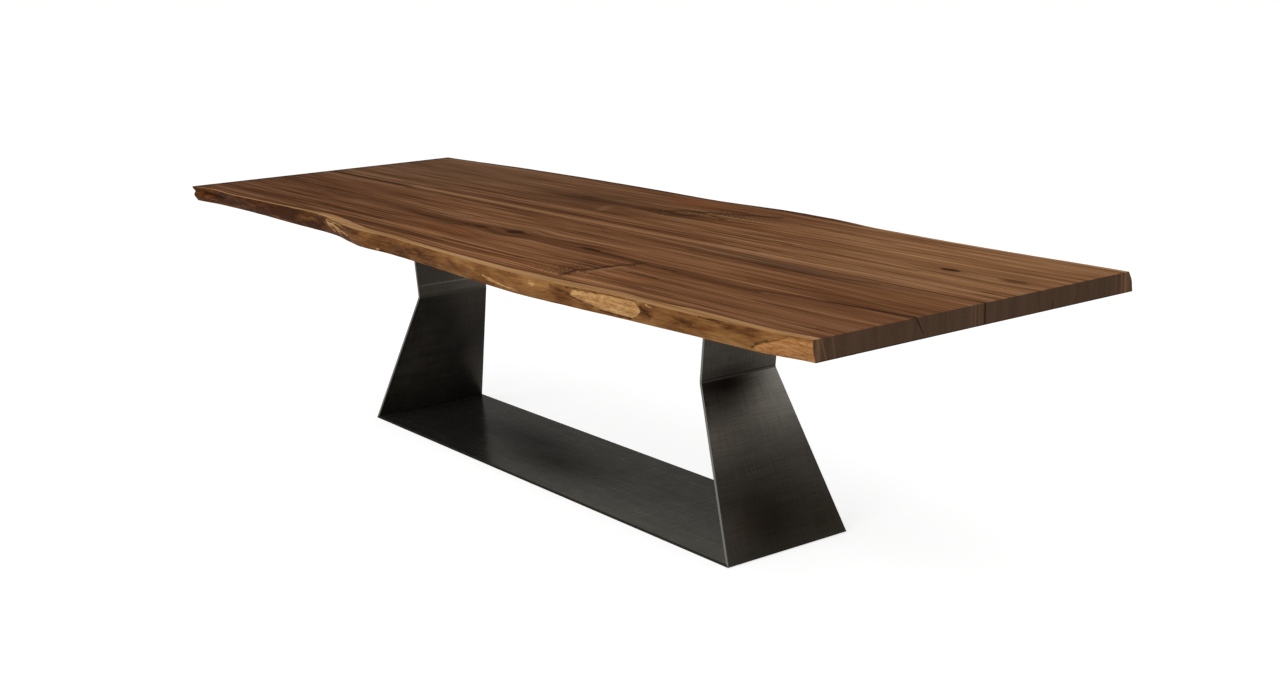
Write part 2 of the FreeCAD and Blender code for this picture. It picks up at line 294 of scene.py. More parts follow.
def soft_lamp(name, place, aim, width, height, watts):
    """A rectangular lamp at a place, turned towards its aim."""
    lamp = bpy.data.objects.new(name, bpy.data.lights.new(name, "AREA"))
    lamp.data.shape = "RECTANGLE"
    lamp.data.size = width
    lamp.data.size_y = height
    lamp.data.energy = watts
    turn = (Vector(aim) - Vector(place)).to_track_quat("-Z", "Y").to_matrix().to_4x4()
    lamp.matrix_world = Matrix.Translation(place) @ turn
    scene.collection.objects.link(lamp)


table_middle = (0.2, 0.0, 0.7)
soft_lamp("front_lamp", (0.6, -4.2, 3.4), table_middle, 4.0, 2.0, 120.0)
soft_lamp("overhead_lamp", (0.8, 0.6, 4.2), table_middle, 4.0, 2.5, 26.0)
print("floor and lamps ready")

# %% [markdown]
# ## Shared wood effects
# Grain is the same idea all over a plank: thin layers that run along the trunk and flow round every knot.
# One group gives a soft oval round a point, which serves both to darken a knot and to push the grain
# aside there. A second gives a soft line between two points, for a stray vein or a crack. A third turns
# a place along the trunk and a distance from its pith into the tones of the growth rings.

# %% Wood groups
oval, bench, come, go = new_group(
    "soft_oval",
    [("Point", "Vector"), ("Middle", "Vector"), ("Half Length", "Float"), ("Half Width", "Float")],
    [("Mask", "Float"), ("Sideways", "Float")],
)
gap_along, gap_across, _ = bench.parts(bench.vectors("SUBTRACT", come["Point"], come["Middle"]))
far_along = bench.over(gap_along, come["Half Length"])
far_across = bench.over(gap_across, come["Half Width"])
far = bench.plus(bench.times(far_along, far_along), bench.times(far_across, far_across))
fade = bench.sum("EXPONENT", bench.times(far, -1.0))
bench.feed(go["Mask"], fade)
bench.feed(go["Sideways"], bench.times(fade, gap_across))

vein, bench, come, go = new_group(
    "soft_line",
    [("Point", "Vector"), ("Start", "Vector"), ("End", "Vector"), ("Half Width", "Float")],
    [("Mask", "Float")],
)
run = bench.vectors("SUBTRACT", come["End"], come["Start"])
lead = bench.vectors("SUBTRACT", come["Point"], come["Start"])
covered = bench.over(bench.vectors("DOT_PRODUCT", lead, run), bench.vectors("DOT_PRODUCT", run, run))
covered = bench.put("ShaderNodeClamp", {"Value": covered}).outputs[0]
nearest = bench.vectors("MULTIPLY", run, bench.vector(covered, covered, covered))
away = bench.over(bench.vectors("DISTANCE", lead, nearest), come["Half Width"])
bench.feed(go["Mask"], bench.bell(away))

rings, bench, come, go = new_group(
    "growth_rings",
    [("Along", "Float"), ("Radius", "Float"), ("Height", "Float")],
    [("Bands", "Float"), ("Streaks", "Float"), ("Fine", "Float"), ("Lines", "Float"), ("Pores", "Float")],
)
grain = (come["Along"], come["Radius"], come["Height"])
for layer, waves, detail, roughness in (
    ("Bands", (0.5, 9.0, 1.0), 1.0, 0.5),
    ("Streaks", (0.7, 40.0, 2.0), 2.0, 0.5),
    ("Fine", (2.0, 95.0, 4.0), 3.0, 0.6),
    ("Pores", (42.0, 1250.0, 60.0), 2.0, 0.5),
):
    bench.feed(go[layer], bench.stretched(grain, waves, detail, roughness))
level_set = bench.minus(bench.stretched(grain, (0.9, 52.0, 3.0), 2.0, 0.5), 0.5)
bench.feed(go["Lines"], bench.ease(bench.sum("ABSOLUTE", level_set), 0.045, 0.0))
print("wood groups ready")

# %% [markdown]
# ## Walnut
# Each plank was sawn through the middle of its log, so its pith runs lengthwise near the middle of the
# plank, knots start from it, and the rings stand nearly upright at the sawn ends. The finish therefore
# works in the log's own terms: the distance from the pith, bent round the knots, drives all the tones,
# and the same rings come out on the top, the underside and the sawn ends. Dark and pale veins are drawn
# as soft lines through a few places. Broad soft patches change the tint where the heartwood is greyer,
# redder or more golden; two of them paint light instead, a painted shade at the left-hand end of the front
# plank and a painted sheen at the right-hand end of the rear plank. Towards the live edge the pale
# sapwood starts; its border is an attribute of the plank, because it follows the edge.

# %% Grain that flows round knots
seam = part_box("front_plank")[1].y
half_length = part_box("front_plank")[1].x
top_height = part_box("front_plank")[1].z
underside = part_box("front_plank")[0].z
flow_length = 2.6
flow_width = 3.0
fray_along = 0.06
fray_across = 0.016
drift_across = 0.04
ripple_waves = 270.0
ripple_unrest = 16.0
halo_share = 0.3
rippled_eye = 0.25


def flat(place):
    return (place[0], place[1], 0.0)


def oval_at(bench, point, middle, half_long, half_wide):
    """A soft oval on a plank: its mask, and its push on the grain."""
    return bench.use(oval, {"Point": point, "Middle": flat(middle), "Half Length": half_long,
                            "Half Width": half_wide})


def soft_patch(bench, point, middle, half_long, half_wide):
    """How strongly a place lies in a soft oval patch."""
    return oval_at(bench, point, middle, half_long, half_wide)["Mask"]


def frayed_point(bench, along, across):
    """A point on the top, shaken a little so that what is drawn there has torn fibres."""
    fray = bench.stretched((along, across, 0.0), (30.0, 110.0, 1.0), 3.0, 0.65)
    return bench.vector(bench.shaken(along, fray, fray_along), bench.shaken(across, fray, fray_across), 0.0)


def round_knots(bench, point, loose, knots):
    """The sideways place on the plank after the grain has flowed round its knots, and the knots' shade."""
    along, across, _ = bench.parts(point)
    drift = bench.stretched((along, across, 0.0), (0.9, 2.0, 1.0), 2.0, 0.5)
    bent = bench.shaken(across, drift, drift_across)
    uneven = bench.stretched((along, across, 0.0), (14.0, 30.0, 1.0), 2.0, 0.5)
    phase = bench.times(bench.plus(along, across), ripple_waves)
    wave = bench.sum("SINE", bench.plus(phase, bench.times(uneven, ripple_unrest)))
    shade = 0.0
    for middle, eye_length, eye_width, push, ripple, dark in knots:
        flow = oval_at(bench, point, middle, eye_length * flow_length, eye_width * flow_width)
        bent = bench.minus(bent, bench.times(flow["Sideways"], push))
        halo = bench.times(flow["Mask"], halo_share * dark)
        solid = dark
        if ripple:
            bent = bench.plus(bent, bench.times(bench.times(wave, ripple), flow["Mask"]))
            halo = bench.times(halo, bench.ease(wave, -1.0, 1.0, 0.7, 1.35))
            solid = rippled_eye * dark
        eye = soft_patch(bench, loose, middle, eye_length, eye_width)
        shade = bench.most(shade, bench.plus(bench.ease(eye, 0.3, 0.8, 0.0, solid), halo))
    return bent, shade


def along_lines(bench, loose, lines):
    """How strongly a place lies on one of several lines, each (places, half width, strength)."""
    strongest = 0.0
    for places, half_width, strength in lines:
        for start, end in zip(places, places[1:]):
            near = bench.use(vein, {"Point": loose, "Start": flat(start), "End": flat(end),
                                    "Half Width": half_width})["Mask"]
            strongest = bench.most(strongest, bench.times(near, strength))
    return strongest


print("grain ready")

# %% Walnut colours
walnut_black = colour(0.03, 0.0108, 0.0042)
walnut_dark = colour(0.06, 0.0225, 0.0082)
walnut_deep = colour(0.1, 0.0385, 0.0142)
walnut_mid = colour(0.143, 0.0575, 0.023)
walnut_light = colour(0.195, 0.086, 0.0375)
walnut_pale = colour(0.275, 0.139, 0.066)
sap_brown = colour(0.21, 0.098, 0.037)
sap_gold = colour(0.345, 0.182, 0.077)
sap_cream = colour(0.43, 0.248, 0.116)
end_deep = colour(0.09, 0.0492, 0.03)
end_light = colour(0.156, 0.092, 0.0588)
joint_and_shade_black = colour(0.01, 0.005, 0.003)
end_pale = colour(0.3, 0.16, 0.085)
heartwood = [(0.12, walnut_dark), (0.34, walnut_deep), (0.52, walnut_mid), (0.72, walnut_light),
             (0.98, walnut_pale)]
sapwood = [(0.48, sap_brown), (0.7, sap_gold), (0.92, sap_cream)]
end_grain = [(0.48, end_deep), (0.88, end_light)]
print("tones:", len(heartwood), "of heartwood,", len(sapwood), "of sapwood,", len(end_grain), "of end grain")

# %% [markdown]
# The rings are thin shells round the pith, so one distance gives the tone of all of them. On the top they
# show as long streaks. A sawn end cuts across them: it is duller, keeps the marks of the saw, and shows a
# few pale rings as upright lines; along its lower arris it gets a strip of painted shade. The joint between
# the planks is a thin dark line that is widest at the left-hand end. A strip of painted shade runs across
# the left-hand end of the plank, along its arris.

# %% Rings and sawn ends
middle_tone = 0.57
tone_weights = (("Bands", 0.4, 0.5), ("Streaks", 1.25, 0.5), ("Fine", 1.8, 0.5), ("Lines", -0.26, 0.0))
seam_half_width = 0.0042
far_seam_half_width = 0.008
sawn_seam_half_width = 0.0022
seam_reach = (-0.9, -1.05)
pith_room = 0.0001
saw_wander = 0.002


def ring_layers(bench, point, bent, pith):
    """The growth rings at a place, for a pith that runs along the plank at (sideways, height)."""
    along, _, height = bench.parts(point)
    off_pith = bench.minus(bent, pith[0])
    above_pith = bench.minus(height, pith[1])
    square = bench.plus(bench.times(off_pith, off_pith), pith_room)
    rise = bench.over(bench.times(above_pith, above_pith), square)
    radius = bench.times(off_pith, bench.sum("SQRT", bench.plus(rise, 1.0)))
    return bench.use(rings, {"Along": along, "Radius": radius, "Height": height})


def ring_tone(bench, point, layers, calm):
    """One tone from all the layers, with less contrast in the calm patches."""
    tone = middle_tone
    for layer, weight, rest in tone_weights:
        tone = bench.shaken(tone, layers[layer], weight, rest)
    for *patch, share in calm:
        pull = bench.times(soft_patch(bench, point, *patch), share)
        tone = bench.plus(tone, bench.times(bench.minus(middle_tone, tone), pull))
    return tone


def sawn_end(bench, point, layers, frayed, end_lines):
    """The dull cross-cut face, with saw marks, faint rings, a few pale lines and painted shade on its lower
    arris.
    """
    along, across, height = bench.parts(point)
    saw_marks = bench.stretched((along, across, height), (60.0, 420.0, 420.0), 2.0, 0.6)
    tone = bench.plus(bench.times(layers["Streaks"], 0.45), bench.times(saw_marks, 0.9))
    tone = bench.minus(tone, bench.times(layers["Lines"], 0.06))
    wood = bench.ramp(tone, end_grain)
    striped = bench.ease(layers["Fine"], 0.45, 0.6)
    wood = bench.blend(bench.times(bench.ease(frayed, 0.006, 0.0, 0.0, 0.45), striped), wood, sap_gold)
    upright = [([(low, underside), (high, top_height)], *line) for low, high, *line in end_lines]
    wavy = bench.vector(bench.shaken(across, saw_marks, saw_wander), height, 0.0)
    wood = bench.blend(along_lines(bench, wavy, upright), wood, end_pale)
    # painted shade along the lower arris of the sawn end, stronger towards the front
    lower_arris = bench.ease(height, underside + 0.004, underside + 0.001)
    lower_arris_shade_strength = bench.ease(across, -0.16, -0.26, 0.4, 0.8)
    return bench.blend(bench.times(lower_arris, lower_arris_shade_strength), wood, walnut_black)


def joint_and_end_shade(bench, along, across, sawn):
    """How dark the joint between the planks is, and the strip of painted shade at the left-hand end."""
    width = bench.ease(along, *seam_reach, seam_half_width, far_seam_half_width)
    width = bench.ease(sawn, 0.0, 1.0, width, sawn_seam_half_width)
    joint = bench.bell(bench.over(bench.minus(across, seam), width))
    shade = bench.most(bench.ease(along, *seam_reach, 0.35, 0.9), bench.times(sawn, 0.97))
    shade = bench.most(shade, bench.ease(along, 1.15, 1.4, 0.0, 0.7))
    # painted shade: a dark strip across the left-hand end of the plank, along its arris
    end_arris_shade = bench.ease(along, 0.029 - half_length, 0.011 - half_length, 0.0, 0.8)
    return bench.most(bench.times(joint, shade), end_arris_shade)


print("rings ready, layers:", [layer for layer, _, _ in tone_weights])

# %% Walnut finish
def walnut(name, pith, knots, dark_veins, pale_veins, tints, calm, end_lines, dark_rim):
    """Oiled walnut for one plank, with its own pith line, knots, veins and tints."""
    material, bench, shader, place = new_finish(name)
    point = place.outputs["Object"]
    along, across, _ = bench.parts(point)
    loose = frayed_point(bench, along, across)
    bent, shade = round_knots(bench, point, loose, knots)
    shade = bench.most(shade, along_lines(bench, loose, dark_veins))
    layers = ring_layers(bench, point, bent, pith)
    wood = bench.ramp(ring_tone(bench, point, layers, calm), heartwood)
    for *patch, tint in tints:
        wood = bench.tinted(soft_patch(bench, point, *patch), wood, tint)
    wood = bench.blend(along_lines(bench, loose, pale_veins), wood, walnut_pale)

    inside = bench.mask("sapwood_line")
    frayed = bench.shaken(inside, layers["Fine"], 0.01)
    sap_tone = bench.plus(layers["Fine"], bench.times(layers["Streaks"], 0.4))
    wood = bench.blend(bench.ease(frayed, 0.016, 0.004, 0.0, 0.55), wood, walnut_dark)
    wood = bench.blend(bench.ease(frayed, 0.0025, -0.0025), wood, bench.ramp(sap_tone, sapwood))
    rim = bench.times(bench.ease(inside, 0.02, 0.005), bench.ease(along, 0.75, 0.4, 0.0, dark_rim))
    shade = bench.sum("MINIMUM", bench.most(shade, rim), 0.97)
    wood = bench.blend(shade, wood, walnut_black)
    wood = bench.blend(bench.ease(layers["Pores"], 0.56, 0.66, 0.0, 0.3), wood, walnut_dark)

    sawn = bench.ease(bench.sum("ABSOLUTE", bench.parts(place.outputs["Normal"])[0]), 0.6, 0.9)
    wood = bench.blend(sawn, wood, sawn_end(bench, point, layers, frayed, end_lines))
    wood = bench.blend(joint_and_end_shade(bench, along, across, sawn), wood, joint_and_shade_black)
    bench.fill(shader, {
        "Base Color": wood,
        "Roughness": bench.ease(layers["Fine"], 0.2, 0.8, 0.68, 0.52),
        "Specular IOR Level": 0.0,
        "Coat Weight": 0.02,
        "Coat Roughness": 0.35,
        "Normal": bench.relief(layers["Fine"], 0.25, 0.0006),
    })
    return material


print("walnut ready")

# %% [markdown]
# The two planks differ in what shows on them. The front plank has a chain of small dark knots along its
# pith, a branch that broke out to the live edge with pale wood behind it, and a dark vein that runs from
# them to the drying check. The rear plank has one large rippled knot, a clean small one near the right-hand
# end, and pale wood along the seam. A knot is (middle, half length, half width, push on the grain, ripple,
# darkness). A vein is (places, half width, strength).

# %% Front plank figure
front_walnut = walnut(
    "walnut_front",
    pith=(-0.245, 0.728),
    knots=[
        ((-0.115, -0.251), 0.042, 0.016, 0.5, 0.0, 0.6),
        ((0.037, -0.231), 0.036, 0.025, 0.75, 0.0, 0.95),
        ((0.405, -0.236), 0.056, 0.013, 0.6, 0.0, 0.85),
        ((0.59, -0.44), 0.034, 0.02, 0.45, 0.005, 0.75),
    ],
    dark_veins=[
        ([(-1.1, -0.24), (-0.52, -0.245), (-0.22, -0.285)], 0.012, 0.38),
        ([(-0.22, -0.285), (-0.1, -0.248)], 0.011, 0.6),
        ([(0.45, -0.244), (0.68, -0.256), (0.8, -0.262)], 0.0065, 0.85),
        ([(0.8, -0.262), (0.98, -0.27), (1.14, -0.274)], 0.013, 0.48),
        ([(1.1, -0.262), (1.24, -0.24), (1.38, -0.226)], 0.0095, 0.6),
        # painted shade along the mouth of the drying check
        ([(1.3, -0.232), (1.38, -0.226), (1.545, -0.208)], 0.0065, 0.97),
        ([(-0.215, -0.276), (-0.185, -0.25)], 0.01, 0.5),
        ([(0.655, -0.256), (0.655, -0.29), (0.634, -0.33), (0.63, -0.395)], 0.01, 0.93),
        ([(0.63, -0.395), (0.616, -0.422), (0.624, -0.455), (0.64, -0.484)], 0.0105, 0.93),
        ([(0.545, -0.424), (0.605, -0.452)], 0.0045, 0.6),
        ([(0.572, -0.414), (0.618, -0.432)], 0.004, 0.6),
        ([(0.562, -0.45), (0.625, -0.478)], 0.0042, 0.55),
        ([(0.73, -0.346), (0.84, -0.35)], 0.0075, 0.6),
        ([(0.7, -0.447), (1.02, -0.443)], 0.006, 0.5),
        ([(-0.03, -0.423), (0.38, -0.432)], 0.0055, 0.6),
        ([(-1.35, -0.393), (-0.45, -0.39)], 0.0065, 0.45),
        ([(-0.97, -0.012), (0.16, -0.014)], 0.007, 0.5),
        ([(0.6, -0.058), (1.05, -0.054), (1.25, -0.016)], 0.0055, 0.45),
        ([(1.0, -0.205), (1.5, -0.14)], 0.005, 0.3),
    ],
    pale_veins=[
        ([(0.1, -0.095), (1.1, -0.1)], 0.0065, 0.38),
        ([(-0.5, -0.19), (0.05, -0.168), (0.54, -0.152)], 0.0065, 0.4),
        ([(0.66, -0.322), (0.652, -0.418)], 0.012, 0.6),
        ([(0.68, -0.338), (1.1, -0.33), (1.54, -0.312)], 0.0065, 0.38),
        ([(0.9, -0.435), (1.47, -0.423)], 0.006, 0.35),
        ([(1.13, -0.272), (1.15, -0.271)], 0.0055, 0.7),
        ([(-0.04, -0.205), (0.09, -0.202)], 0.008, 0.35),
    ],
    tints=[
        # painted shade: darker towards the left-hand end
        ((-1.5, -0.25), 0.85, 0.6, colour(0.8, 0.82, 0.9)),
        ((0.93, -0.03), 0.36, 0.034, colour(0.5, 0.53, 0.6)),
        ((-0.16, -0.355), 0.13, 0.05, colour(1.16, 1.0, 0.92)),
        ((0.13, -0.34), 0.18, 0.04, colour(1.18, 1.18, 1.15)),
        ((-0.38, -0.23), 0.2, 0.035, colour(0.8, 0.82, 0.85)),
        ((0.42, -0.465), 0.35, 0.05, colour(1.44, 1.46, 1.45)),
        ((0.74, -0.39), 0.1, 0.06, grey(1.2)),
        ((0.588, -0.378), 0.05, 0.045, colour(0.66, 0.64, 0.67)),
        ((1.5, -0.38), 0.3, 0.12, colour(1.08, 1.12, 1.22)),
    ],
    calm=[
        ((1.45, -0.33), 0.4, 0.2, 0.52),
        ((1.25, -0.06), 0.35, 0.08, 0.35),
        ((0.36, -0.3), 0.3, 0.1, 0.25),
        ((-1.3, -0.2), 0.5, 0.3, 0.2),
    ],
    end_lines=[
        (-0.036, -0.036, 0.0014, 0.3), (-0.024, -0.024, 0.0016, 0.5), (-0.011, -0.011, 0.0015, 0.42),
        (-0.003, -0.003, 0.0012, 0.35), (-0.44, -0.448, 0.0014, 0.35), (-0.464, -0.478, 0.0018, 0.6),
        (-0.484, -0.488, 0.003, 0.45),
    ],
    dark_rim=0.0,
)
print("front figure ready")

# %% Rear plank figure
rear_walnut = walnut(
    "walnut_rear",
    pith=(0.27, 0.728),
    knots=[
        ((-0.338, 0.285), 0.03, 0.012, 0.5, 0.0, 0.4),
        ((0.11, 0.298), 0.045, 0.024, 0.6, 0.005, 0.75),
        ((0.27, 0.378), 0.06, 0.02, 0.4, 0.005, 0.7),
        ((1.246, 0.221), 0.046, 0.011, 0.75, 0.0, 0.95),
        ((1.445, 0.222), 0.055, 0.018, 0.5, 0.0, 0.5),
    ],
    dark_veins=[
        ([(-0.06, 0.262), (0.0, 0.274), (0.05, 0.29)], 0.0105, 0.6),
        ([(0.04, 0.27), (0.065, 0.292), (0.085, 0.33)], 0.011, 0.78),
        ([(0.085, 0.332), (0.16, 0.354), (0.215, 0.372)], 0.0105, 0.88),
        ([(0.215, 0.372), (0.3, 0.408), (0.39, 0.442)], 0.014, 0.72),
        ([(0.07, 0.32), (0.11, 0.338), (0.165, 0.337)], 0.0075, 0.92),
        ([(0.055, 0.288), (0.11, 0.272), (0.16, 0.276)], 0.008, 0.9),
        ([(0.098, 0.318), (0.135, 0.3)], 0.005, 0.75),
        ([(0.15, 0.277), (0.184, 0.29)], 0.0105, 0.92),
        ([(0.205, 0.352), (0.245, 0.366)], 0.006, 0.8),
        ([(0.225, 0.326), (0.295, 0.312)], 0.008, 0.78),
        ([(-0.14, 0.152), (0.06, 0.156)], 0.007, 0.35),
        ([(0.5, 0.056), (0.74, 0.054)], 0.0055, 0.55),
        ([(0.52, 0.405), (0.9, 0.38)], 0.006, 0.45),
        ([(0.72, 0.165), (1.2, 0.16)], 0.006, 0.4),
    ],
    pale_veins=[
        ([(-0.97, 0.022), (-0.5, 0.021), (0.0, 0.018), (0.56, 0.026), (0.72, 0.03)], 0.0102, 0.88),
        ([(0.56, 0.032), (1.4, 0.03)], 0.008, 0.45),
        ([(0.6, 0.064), (1.46, 0.062)], 0.0065, 0.45),
        ([(0.8, 0.094), (1.46, 0.09)], 0.0065, 0.45),
        ([(0.74, 0.182), (1.16, 0.178)], 0.0065, 0.4),
        ([(-0.14, 0.215), (-0.105, 0.16)], 0.016, 0.35),
        ([(0.095, 0.304), (0.14, 0.302)], 0.011, 0.55),
    ],
    tints=[
        ((-1.3, 0.33), 0.85, 0.42, colour(0.96, 1.16, 1.45)),
        ((-0.29, 0.285), 0.26, 0.12, colour(0.58, 0.59, 0.61)),
        ((0.1, 0.32), 0.3, 0.11, colour(0.86, 0.86, 0.82)),
        ((0.43, 0.282), 0.22, 0.03, colour(1.28, 1.26, 1.24)),
        ((0.0, 0.44), 0.13, 0.05, colour(1.18, 1.02, 0.92)),
        # painted sheen: much lighter and bluer towards the right-hand end
        ((1.33, 0.29), 0.62, 0.3, colour(1.72, 1.98, 2.1)),
    ],
    calm=[
        ((-1.2, 0.3), 0.6, 0.3, 0.45),
        ((-0.26, 0.28), 0.3, 0.2, 0.3),
        ((1.35, 0.26), 0.45, 0.25, 0.35),
    ],
    end_lines=[(0.476, 0.476, 0.003, 0.6), (0.49, 0.49, 0.0025, 0.6), (0.455, 0.455, 0.0015, 0.35)],
    dark_rim=0.78,
)
print("rear figure ready")

# %% [markdown]
# ## Live edge
# Under the bark a walnut log has a thin skin of sapwood, scraped and brushed clean here. It is mottled
# brown and gold, with pale patches where the scraper went through the skin, and dark seams where bark
# was caught; some dark strokes are painted shade instead, under the arris and under the ledge of the
# large scraped flat. The pale and the dark places are modelled on the edge, so their masks are attributes
# of the plank. Noise along the edge adds the mottling between them. The inside of a drying check is
# painted shade: it gets a plain dark wood of its own.

# %% Live edge finish
skin_dark = colour(0.044, 0.0145, 0.0044)
skin_brown = colour(0.122, 0.046, 0.014)
skin_gold = colour(0.215, 0.092, 0.028)
skin_cream = colour(0.34, 0.17, 0.058)
bark_and_shade_brown = colour(0.03, 0.0125, 0.0055)
clean_brown = colour(0.247, 0.098, 0.03)
clean_gold = colour(0.404, 0.179, 0.06)
clean_cream = colour(0.546, 0.282, 0.113)
scraped_tint = colour(1.08, 1.27, 1.39)
far_tint = colour(1.17, 1.03, 0.86)
edge_shades = [
    ((1.395, 0.742), 0.08, 0.01, -0.17),
    ((1.036, 0.731), 0.03, 0.014, -0.28),
    ((1.165, 0.729), 0.04, 0.012, -0.12),
    ((1.305, 0.728), 0.05, 0.012, 0.05),
    ((-0.93, 0.725), 0.12, 0.02, -0.05),
    ((1.23, 0.725), 0.06, 0.016, -0.05),
    ((0.23, 0.725), 0.1, 0.02, -0.03),
]
skin_slopes = [(-0.9, 0.1, -0.24, -0.02), (0.3, 0.6, 0.0, 0.055), (1.22, 1.36, 0.0, 0.07)]
skin = [(0.4, skin_dark), (0.56, skin_brown), (0.72, skin_gold), (0.94, skin_cream)]
scraped = [(0.36, clean_brown), (0.49, clean_gold), (0.64, clean_cream)]


def live_edge(name):
    """The scraped skin of the log along a live edge."""
    material, bench, shader, place = new_finish(name)
    spot = bench.parts(place.outputs["Object"])
    along, _, height = spot
    broad = bench.stretched(spot, (8.0, 8.0, 28.0), 3.0, 0.55)
    fibre = bench.stretched(spot, (22.0, 60.0, 230.0), 3.0, 0.6)
    speck = bench.stretched(spot, (70.0, 70.0, 240.0), 3.0, 0.6)
    tone = bench.plus(bench.times(broad, 0.85), bench.times(fibre, 0.5))
    for slope in skin_slopes:
        tone = bench.plus(tone, bench.ease(along, *slope))
    on_edge = bench.vector(along, height, 0.0)
    for *patch, step in edge_shades:
        tone = bench.plus(tone, bench.times(soft_patch(bench, on_edge, *patch), step))
    wood = bench.tinted(bench.ease(along, -0.8, -1.0), bench.ramp(tone, skin), far_tint)

    clean_tone = bench.plus(bench.times(speck, 0.45), bench.times(fibre, 0.55))
    clean = bench.tinted(bench.ease(along, 1.35, 1.15), bench.ramp(clean_tone, scraped), scraped_tint)
    pale = bench.shaken(bench.mask("pale_wood"), fibre, 0.8)
    wood = bench.blend(bench.ease(pale, 0.36, 0.66), wood, clean)
    dark = bench.shaken(bench.mask("dark_wood"), speck, 0.9)
    # dark strokes: caught bark, and painted shade under the arris and under the ledge of the large flat
    wood = bench.blend(bench.ease(dark, 0.22, 0.95, 0.0, 0.9), wood, bark_and_shade_brown)
    bench.fill(shader, {
        "Base Color": wood,
        "Roughness": bench.ease(fibre, 0.2, 0.8, 0.72, 0.55),
        "Specular IOR Level": 0.03,
        "Normal": bench.relief(bench.plus(fibre, bench.times(speck, 0.5)), 0.5, 0.0015),
    })
    return material


edge_finish = live_edge("live_edge")
# painted shade: the inside of a drying check is a plain dark wood
check_shade_finish = mottled("painted_check_shade", colour(0.01, 0.005, 0.003), colour(0.022, 0.01, 0.006),
                       (60.0, 200.0, 60.0), 0.0, 0.85, 0.0004)
print("live edge ready")

# %% [markdown]
# ## Planks
# A plank starts as its live edge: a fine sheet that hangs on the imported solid's own outline, found by
# casting rays at it. Dips, torn fibres and scraped flats are pushed into the sheet. Its upper and lower
# border are then extruded to the seam, the two seam lines are bridged, the sawn ends are filled and every
# arris is eased with a bevel. This keeps the natural edge fine and the sawn faces simple.

# %% Plank sizes
thickness = top_height - underside
far_side = 2.0
hair = 0.0004
edge_step = 0.0026
edge_rows = 24
arris_ease = 0.0011
face_rows = (0.03, 0.1, 0.25, 0.5, 0.75, 1.0)
print("seam at", round(seam, 4), "thickness", round(thickness, 4))

# %% Edge tools
def soft_step(value, start, end):
    """Smooth rise from 0 at start to 1 at end."""
    share = min(max((value - start) / (end - start), 0.0), 1.0)
    return share * share * (3 - 2 * share)


def between(table, x):
    """Straight line reading of a table of (place, value) rows."""
    after = min(max(bisect(table, (x,)), 1), len(table) - 1)
    (x0, v0), (x1, v1) = table[after - 1], table[after]
    return v0 + (v1 - v0) * min(max((x - x0) / (x1 - x0), 0.0), 1.0)


def off_stroke(place, start, end):
    """Distance from a place on the edge to a straight stroke."""
    nearest, share = geometry.intersect_point_line(place, start, end)
    if share <= 0:
        nearest = start
    elif share >= 1:
        nearest = end
    return (place - nearest).length


def inside_by(place, outline):
    """How far a place lies inside an outline, negative outside it."""
    corners = [Vector(corner) for corner in outline]
    nearest = min(off_stroke(place, a, b) for a, b in zip(corners, corners[1:] + corners[:1]))
    crossings = 0
    for a, b in zip(corners, corners[1:] + corners[:1]):
        if (a.y > place.y) != (b.y > place.y):
            crossings += place.x < a.x + (b.x - a.x) * (place.y - a.y) / (b.y - a.y)
    return nearest if crossings % 2 else -nearest


print("a quarter into a soft step:", soft_step(0.25, 0.0, 1.0))

# %% [markdown]
# What the scraper and the bark left on an edge is listed at (along, height) in metres. A flat is
# (softness, outline), a pale stroke is (start, end, half width, strength) and a dark stroke is (start, end,
# half width, depth, darkness). A painted picture would be quicker, but it would carry no relief. The front
# edge has one large scraped flat, a second at its right-hand end, and pale torn fibres between them.

# %% Front edge features
front_flats = [
    (0.0018, [(0.767, 0.73), (0.771, 0.738), (0.781, 0.743), (0.835, 0.744), (0.886, 0.7445), (0.94, 0.745),
              (0.992, 0.7455), (1.009, 0.738), (1.017, 0.728), (1.008, 0.716), (0.985, 0.709), (0.94, 0.707),
              (0.906, 0.708), (0.855, 0.711), (0.811, 0.719)]),
    (0.006, [(1.389, 0.709), (1.404, 0.722), (1.462, 0.741), (1.5, 0.746), (1.57, 0.744), (1.57, 0.695),
             (1.42, 0.695)]),
]
front_pale = [
    ((-0.605, 0.741), (-0.535, 0.714), 0.0028, 1.0),
    ((-0.59, 0.739), (-0.47, 0.716), 0.0024, 1.0),
    ((-0.56, 0.737), (-0.4, 0.722), 0.003, 1.0),
    ((-0.6, 0.744), (-0.44, 0.743), 0.003, 1.0),
    ((0.386, 0.724), (0.47, 0.713), 0.0026, 1.0),
    ((0.4, 0.716), (0.56, 0.708), 0.0018, 1.0),
    ((0.608, 0.739), (0.624, 0.735), 0.0045, 1.0),
    ((-0.228, 0.707), (-0.212, 0.705), 0.0035, 1.0),
    ((1.04, 0.746), (1.058, 0.743), 0.0022, 1.0),
    ((-1.47, 0.716), (-1.4, 0.715), 0.0035, 0.55),
]
